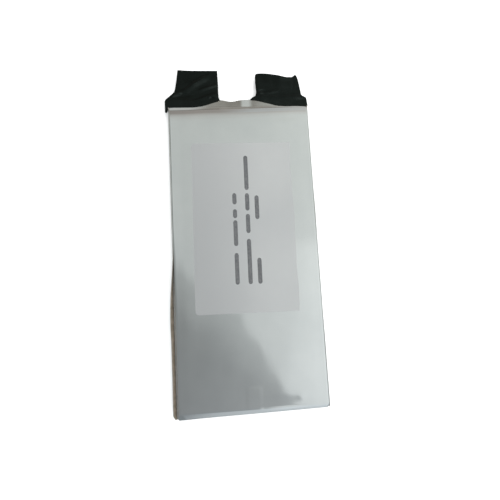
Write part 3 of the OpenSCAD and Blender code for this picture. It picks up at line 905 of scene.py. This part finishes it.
tape("positive_tape", "positive", -TAB_X, left_outline(), LEFT_ROLL, left_wrinkles, left_sag)
tape("negative_tape", "negative", TAB_X, right_outline(), RIGHT_ROLL, right_wrinkles, right_sag)


# ---- Label ----

LABEL_W, LABEL_L, LABEL_R = 70.0, 119.0, 2.5
LABEL_T = 0.1
LABEL_TURN = np.radians(-0.6)
LABEL_CENTRE = np.mean(box_mm("label"), axis=0)[:2]
SKIN_GAP = 0.01  # between the skin and the label's underside


def on_face(u, v, lift):
    """Points of the label's own plane laid on the front face, lift above the skin."""
    c, s = np.cos(LABEL_TURN), np.sin(LABEL_TURN)
    x = LABEL_CENTRE[0] + c * u - s * v
    y = LABEL_CENTRE[1] + s * u + c * v
    return np.stack([x, y, FACE_Z + front_swell(x, y) + lift], -1)


def label_sheet():
    """Left corners rounded; the right edge is a hand-cut line that wanders a little."""
    near_end = LABEL_R * (1 - np.cos(np.linspace(0, np.pi / 2, 9)))
    v = np.r_[near_end, np.linspace(LABEL_R, LABEL_L - LABEL_R, 60)[1:-1],
              LABEL_L - near_end[::-1]] - LABEL_L / 2
    depth = np.minimum(LABEL_L / 2 - np.abs(v), LABEL_R)
    left = -LABEL_W / 2 + LABEL_R - np.sqrt(np.maximum(LABEL_R**2 - (LABEL_R - depth) ** 2, 0))
    right = (LABEL_W / 2 - 0.1 + 0.22 * np.sin(v / 9.0 + 0.6) + 0.12 * np.sin(v / 4.1)
             - 0.5 * ramp(v, -10, 60))
    u = np.r_[0, 0.004, np.linspace(0.02, 0.98, 42), 0.996, 1][None, :]
    uu = left[:, None] + (right - left)[:, None] * u
    vv = np.repeat(v[:, None], uu.shape[1], 1)
    piece = closed_sheet("label_film", on_face(uu, vv, SKIN_GAP + LABEL_T),
                         on_face(uu, vv, SKIN_GAP), LABEL)
    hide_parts("label")
    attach(piece, "cell")


# Print: lines of plain bars that stand for words. Each line is its distance from the label's
# left edge and the start and length of its bars, measured up the label from its lower end.
PRINT_LINES = [
    (30.2, [(19.2, 21.5), (45.5, 18.0), (64.9, 6.3), (74.6, 8.0)]),
    (39.0, [(19.2, 31.0), (54.2, 13.5), (70.0, 12.4), (84.7, 24.9)]),
    (45.6, [(19.2, 17.7), (63.8, 16.9)]),
]
BAR_H = 2.9
INK_T = 0.02


def print_bar(foot, start, length):
    """A bar with round ends whose foot faces the label's right edge, so it reads up the cell."""
    across = np.linspace(-1, 1, 9)[:, None]
    inset = BAR_H / 2 * (1 - np.sqrt(1 - across**2))
    along = np.linspace(0, 1, 12)[None, :]
    u = -LABEL_W / 2 + foot - BAR_H / 2 * (1 - across) + 0 * along
    v = -LABEL_L / 2 + start + inset + (length - 2 * inset) * along
    base = SKIN_GAP + LABEL_T
    return on_face(u, v, base + INK_T), on_face(u, v, base - INK_T / 2)


def label_print():
    """All the bars as one piece."""
    bars = [print_bar(foot, *bar) for foot, words in PRINT_LINES for bar in words]
    piece = joined_sheets("label_print", bars, INK)
    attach(piece, "cell")


label_sheet()
label_print()


# ---- CAD nodes that stay ----


def dress_inner_nodes():
    """Gives each CAD node that stays the material of its record's slot."""
    slots = {s["node"]: s["material_slot"] for s in frame["record"]["subparts"]}
    for node, piece in frame["nodes"].items():
        material = INNER_MATERIALS.get(slots[node])
        if material and not piece.hide_render:
            piece.data.materials.clear()
            piece.data.materials.append(material)


dress_inner_nodes()


# ---- Floor, lights and camera ----

FACE_CENTRE = Vector((0, (Y_BOTTOM + Y_SEAL - 1.5) / 2 * MM, FACE_Z * MM))
CARD_HEIGHT = 0.9  # of the overhead card over the face, in metres
CARD_DISTANCE = 1.2  # of the upright cards from the face's centre, in metres


def floor():
    """A plain white floor just under the cell. It is kept out of the foil's reflections."""
    m = plain_material("studio_floor", (0.88, 0.88, 0.88), (0.90, 0.90, 0.90), 0.8, scale=6)
    half = 4.0
    mesh = bpy.data.meshes.new("floor")
    corners = [(-half, -half, 0), (half, -half, 0), (half, half, 0), (-half, half, 0)]
    mesh.from_pydata(corners, [], [(0, 1, 2, 3)])
    mesh.materials.append(m)
    plane = bpy.data.objects.new("floor", mesh)
    plane.location.z = -0.0002
    plane.visible_glossy = False
    bpy.context.scene.collection.objects.link(plane)


def softbox(name, place, size, radiance):
    """A rectangular light of even radiance. place is from the face's centre, its target."""
    data = bpy.data.lights.new(name, "AREA")
    data.shape = "RECTANGLE"
    data.size, data.size_y = size
    data.energy = radiance * np.pi * size[0] * size[1]
    light = bpy.data.objects.new(name, data)
    aim = (-Vector(place)).normalized().to_track_quat("-Z", "Y").to_matrix().to_4x4()
    light.matrix_world = Matrix.Translation(FACE_CENTRE + Vector(place)) @ aim
    bpy.context.scene.collection.objects.link(light)
    return light


def glow_card(name, place, corners, m, glow, colour):
    """A see-through plane that adds a glow to what lies behind it, for the foil to mirror.

    place is its origin, from the face's centre, and its corners are from that origin. The glow
    is worked out in m, the card's own nodes, from the same coordinates.
    """
    m.tree.nodes.remove(m.shader)
    emission = m.tree.nodes.new("ShaderNodeEmission")
    emission.inputs["Color"].default_value = (*colour, 1)
    m.link(glow, emission.inputs["Strength"])
    clear = m.tree.nodes.new("ShaderNodeBsdfTransparent")
    both = m.tree.nodes.new("ShaderNodeAddShader")
    m.link(emission.outputs["Emission"], both.inputs[0])
    m.link(clear.outputs["BSDF"], both.inputs[1])
    m.link(both.outputs["Shader"], m.tree.nodes["Material Output"].inputs["Surface"])
    mesh = bpy.data.meshes.new(name)
    mesh.from_pydata(corners, [], [(0, 1, 2, 3)])
    mesh.materials.append(m.material)
    card = bpy.data.objects.new(name, mesh)
    card.location = FACE_CENTRE + Vector(place)
    card.visible_camera = False
    card.visible_shadow = False
    bpy.context.scene.collection.objects.link(card)


def overhead_card():
    """Overhead glow with a crooked near edge, a soft far edge and a brighter right-hand panel.

    Its near edge is slanted at the left and more steeply at the right, with one more bright
    patch at the near right corner, and its left side glows a little more than its middle.
    """
    m = Nodes("overhead_card")
    x, y = m.axis("X"), m.axis("Y")
    left_slant, right_slant = m.slant(51.5), m.slant(29.33)
    step = m.math("MULTIPLY", m.smooth(left_slant, -0.055, -0.005), 0.5)
    trail = m.math("MULTIPLY", m.smooth(left_slant, -0.19, -0.03), 0.5)
    left_edge, right_edge = m.math("ADD", step, trail), m.smooth(right_slant, -0.022, 0.006)
    patch = m.math("MULTIPLY", m.smooth(x, 0.08, 0.16), m.smooth(y, -0.38, -0.42),
                   m.smooth(y, -0.95, -0.65))
    near = m.math("MAXIMUM", left_edge, right_edge, patch)
    far = m.smooth(y, 1.15, 0.45)
    panel = m.math("MULTIPLY", m.smooth(x, 0.10, 0.26), m.smooth(y, 0.17, 0.10), 0.10)
    glow = m.math("ADD", m.math("MULTIPLY", near, far, 0.27), panel)
    left_side = m.math("MULTIPLY", m.smooth(x, -0.10, -0.22), 0.26)
    glow = m.math("MULTIPLY", glow, m.math("ADD", left_side, 1.0))
    corners = [(-0.8, -1.6, 0), (-0.8, 1.5, 0), (1.2, 1.5, 0), (1.2, -1.6, 0)]
    glow_card("overhead_card", (0, 0, CARD_HEIGHT), corners, m, glow, (0.94, 0.99, 0.98))


def back_card():
    """A cool glow behind the tabs, at the right only: it clears the right half of the shoulder."""
    m = Nodes("back_card")
    glow = m.math("MULTIPLY", m.smooth(m.axis("X"), 0.0, 0.14), 0.12)
    corners = [(0, 0, -0.05), (1.4, 0, -0.05), (1.4, 0, 1.2), (0, 0, 1.2)]
    glow_card("back_card", (0, CARD_DISTANCE, 0), corners, m, glow, (0.70, 1.0, 1.15))


def front_card():
    """A cool glow in front of the cell, mirrored by the slope down to the bottom fold."""
    m = Nodes("front_card")
    x, height = m.axis("X"), m.smooth(m.axis("Z"), 1.7, 1.1)
    middle = m.math("MULTIPLY", m.smooth(x, -0.24, -0.02), height, 0.22)
    right = m.math("MULTIPLY", m.smooth(x, 0.12, 0.26), height, 0.08)
    corners = [(-1.2, 0, -0.05), (1.2, 0, -0.05), (1.2, 0, 1.8), (-1.2, 0, 1.8)]
    glow = m.math("ADD", middle, right)
    glow_card("front_card", (0, -CARD_DISTANCE, 0), corners, m, glow, (0.90, 0.96, 1.0))


def surround():
    """Studio surround: brighter towards +X, warm behind the tabs and cool in front."""
    world = bpy.data.worlds.new("studio")
    bpy.context.scene.world = world
    world.use_nodes = True
    tree = world.node_tree
    direction = tree.nodes.new("ShaderNodeTexCoord").outputs["Generated"]
    split = tree.nodes.new("ShaderNodeSeparateXYZ")
    tree.links.new(direction, split.inputs["Vector"])
    strength = tree.nodes.new("ShaderNodeMapRange")
    strength.inputs["From Min"].default_value = -0.14
    strength.inputs["From Max"].default_value = 0.5
    strength.inputs["To Min"].default_value = 0.262
    strength.inputs["To Max"].default_value = 0.54
    tree.links.new(split.outputs["X"], strength.inputs["Value"])
    ahead = tree.nodes.new("ShaderNodeMapRange")
    ahead.inputs["From Min"].default_value = -1
    tree.links.new(split.outputs["Y"], ahead.inputs["Value"])
    tint = tree.nodes.new("ShaderNodeValToRGB")
    stops = [(0.15, (0.86, 0.95, 1.0)), (0.37, (0.92, 0.98, 1.0)), (0.72, (0.94, 1.0, 0.95)),
             (0.85, (1.0, 0.94, 0.87))]
    set_stops(tint, stops)
    tree.links.new(ahead.outputs["Result"], tint.inputs["Fac"])
    background = tree.nodes["Background"]
    tree.links.new(tint.outputs["Color"], background.inputs["Color"])
    tree.links.new(strength.outputs["Result"], background.inputs["Strength"])


def lights():
    """A surround and cards that the foil mirrors, and a fill that lights the matt surfaces."""
    surround()
    overhead_card()
    back_card()
    front_card()
    side = softbox("side", place=(0.50, 0.10, 0.98), size=(0.5, 0.7), radiance=1.4)
    lit = bpy.data.collections.new("lit_from_the_side")
    for name in ("positive_tape", "negative_tape"):
        lit.objects.link(bpy.data.objects[name])
    side.light_linking.receiver_collection = lit
    fill = softbox("fill", place=(0.1, 0.1, 1.5), size=(3.2, 3.2), radiance=2.2)
    fill.visible_glossy = False


def camera():
    """A camera almost straight above, aimed close to the middle of the front face."""
    place = FACE_CENTRE + Vector((-19.2, -33.9, 270.3)) * MM
    aim = FACE_CENTRE + Vector((2.36, 1.49, 0)) * MM
    roll = Matrix.Rotation(np.radians(-3.14), 4, "Z")
    data = bpy.data.cameras.new("camera")
    data.sensor_width = 36
    data.lens = 28.8
    data.clip_start = 0.01
    cam = bpy.data.objects.new("camera", data)
    forward = (aim - place).normalized()
    right = forward.cross(Vector((0, 1, 0))).normalized()
    up = right.cross(forward)
    turn = Matrix((right, up, -forward)).transposed().to_4x4()
    cam.matrix_world = Matrix.Translation(place) @ turn @ roll
    bpy.context.scene.collection.objects.link(cam)
    bpy.context.scene.camera = cam


floor()
lights()
camera()
bpy.context.scene.view_settings.view_transform = "Standard"
